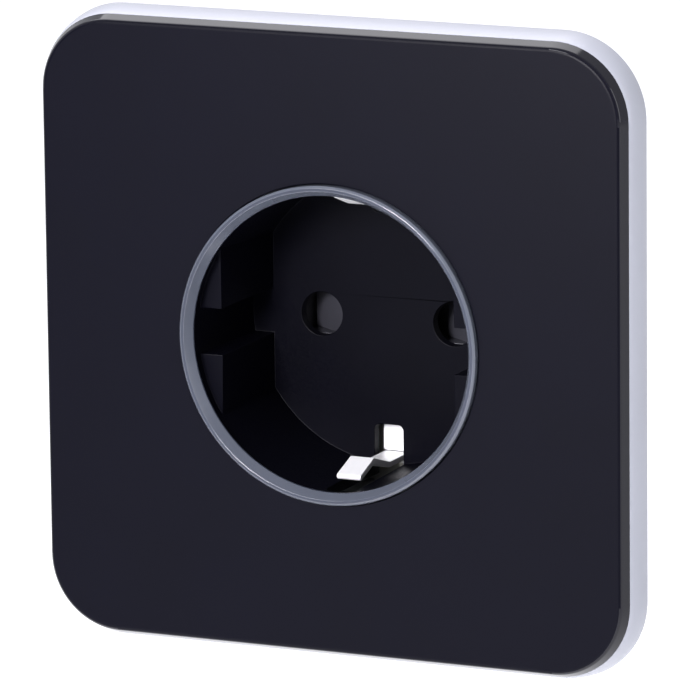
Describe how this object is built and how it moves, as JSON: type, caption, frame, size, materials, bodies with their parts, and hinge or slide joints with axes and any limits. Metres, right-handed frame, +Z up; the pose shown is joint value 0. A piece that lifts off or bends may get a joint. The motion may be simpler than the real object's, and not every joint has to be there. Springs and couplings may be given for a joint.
{
  "type": "smart wall socket",
  "caption": "Flush-mounted smart wall socket with a black square plate, round earthed well, smoked light ring, milky rear frame, shutters and a metering relay core.",
  "frame": {"origin": "centre of the wall plane, midway between the wall-box screws", "axes": "+Y into the wall, +X right and +Z up as seen from the room; the plate faces -Y"},
  "size_m": [0.0844, 0.0521, 0.0844],
  "materials": {
    "plate_black": "fine matte moulding",
    "well_black": "satin black moulding",
    "ring_diffuser": "smoked translucent diffuser",
    "frame_translucent": "milky translucent moulding",
    "shutter_grey": "smooth grey moulding",
    "cage_black": "satin",
    "spring_steel": "drawn wire",
    "zinc_steel": "zinc plated sheet",
    "screw_steel": "zinc plated",
    "housing_grey": "light grey thermoset moulding",
    "carrier_white": "off-white thermoset moulding",
    "brass": "stamped",
    "nickel": "nickel plated strip",
    "board_green": "solder resist",
    "board_white": "white solder resist",
    "led_body": "phosphor cap",
    "relay_blue": "moulded case",
    "capacitor_yellow": "moulded case",
    "capacitor_sleeve": "shrink sleeve",
    "ferrite": "sintered ferrite and tape",
    "varistor_blue": "epoxy dip",
    "fuse_ceramic": "glazed tube",
    "shield_tin": "tinned can",
    "copper_shunt": "resistance alloy strip",
    "header_black": "moulded header",
    "gold": "gold plated pins",
    "ribbon_amber": "polyimide film"
  },
  "bodies": {
    "core": {"mounting_plate": "zinc_steel", "plate_screws": "screw_steel", "core_housing": "housing_grey", "rear_cover": "housing_grey", "rear_cover_screws": "screw_steel", "contact_carrier": "carrier_white", "live_contact": "brass", "neutral_contact": "brass", "earth_bridge": "nickel", "main_board": "board_green", "relay": "relay_blue", "film_capacitor": "capacitor_yellow", "bulk_capacitor": "capacitor_sleeve", "power_transformer": "ferrite", "varistor": "varistor_blue", "fuse": "fuse_ceramic", "radio_board": "board_green", "radio_shield": "shield_tin", "current_shunt": "copper_shunt", "pin_header": "header_black", "contact_pins": "gold", "ribbon_cable": "ribbon_amber", "terminal_live": "brass", "terminal_earth": "brass", "terminal_neutral": "brass"},
    "cover": {"front_plate": "plate_black", "rear_frame": "frame_translucent", "light_ring": "ring_diffuser", "socket_well": "well_black", "shutter_cage": "cage_black", "shutter_spring": "spring_steel", "led_board": "board_white", "leds": "led_body"},
    "shutter": {"shutter": "shutter_grey"},
    "earth_clip_top": {"earth_clip_top": "nickel"},
    "earth_clip_bottom": {"earth_clip_bottom": "nickel"},
    "claw_left": {"claw_left": "zinc_steel"},
    "claw_right": {"claw_right": "zinc_steel"},
    "claw_screw_left": {"claw_screw_left": "screw_steel"},
    "claw_screw_right": {"claw_screw_right": "screw_steel"},
    "terminal_screw_live": {"terminal_screw_live": "screw_steel"},
    "terminal_screw_earth": {"terminal_screw_earth": "screw_steel"},
    "terminal_screw_neutral": {"terminal_screw_neutral": "screw_steel"}
  },
  "joints": [
    {"name": "cover_pull", "type": "slide", "parent": "core", "child": "cover", "axis": [0, -1, 0], "range_m": [0, 0.045]},
    {"name": "shutter_slide", "type": "slide", "parent": "cover", "child": "shutter", "axis": [1, 0, 0], "range_m": [0, 0.006], "stiffness_N_per_m": 150, "springref_m": -0.004, "deforming": ["shutter_spring"]},
    {"name": "earth_clip_top_flex", "type": "hinge", "parent": "core", "child": "earth_clip_top", "pos_m": [0, 0.0155, 0.0187], "axis": [-1, 0, 0], "range_deg": [0, 5], "stiffness_Nm_per_rad": 0.3, "springref_deg": -2.86},
    {"name": "earth_clip_bottom_flex", "type": "hinge", "parent": "core", "child": "earth_clip_bottom", "pos_m": [0, 0.0155, -0.0187], "axis": [1, 0, 0], "range_deg": [0, 5], "stiffness_Nm_per_rad": 0.3, "springref_deg": -2.86},
    {"name": "claw_left_swing", "type": "hinge", "parent": "core", "child": "claw_left", "pos_m": [-0.0249, 0.0013, -0.007], "axis": [0, 0, 1], "range_deg": [0, 12]},
    {"name": "claw_left_screw_turn", "type": "hinge", "parent": "claw_left", "child": "claw_screw_left", "pos_m": [-0.027, 0, -0.007], "axis": [0, 1, 0], "range_deg": [0, 3600]},
    {"name": "claw_right_swing", "type": "hinge", "parent": "core", "child": "claw_right", "pos_m": [0.0249, 0.0013, 0.007], "axis": [0, 0, -1], "range_deg": [0, 12]},
    {"name": "claw_right_screw_turn", "type": "hinge", "parent": "claw_right", "child": "claw_screw_right", "pos_m": [0.027, 0, 0.007], "axis": [0, 1, 0], "range_deg": [0, 3600]},
    {"name": "terminal_live_screw_turn", "type": "hinge", "parent": "core", "child": "terminal_screw_live", "pos_m": [-0.01, 0.0402, -0.02], "axis": [0, 0, 1], "range_deg": [0, 1080]},
    {"name": "terminal_earth_screw_turn", "type": "hinge", "parent": "core", "child": "terminal_screw_earth", "pos_m": [0, 0.0402, -0.02], "axis": [0, 0, 1], "range_deg": [0, 1080]},
    {"name": "terminal_neutral_screw_turn", "type": "hinge", "parent": "core", "child": "terminal_screw_neutral", "pos_m": [0.01, 0.0402, -0.02], "axis": [0, 0, 1], "range_deg": [0, 1080]}
  ],
  "couplings": [
    {"joint": "claw_left_swing", "follows": "claw_left_screw_turn", "ratio": 0.00333},
    {"joint": "claw_right_swing", "follows": "claw_right_screw_turn", "ratio": 0.00333}
  ]
}
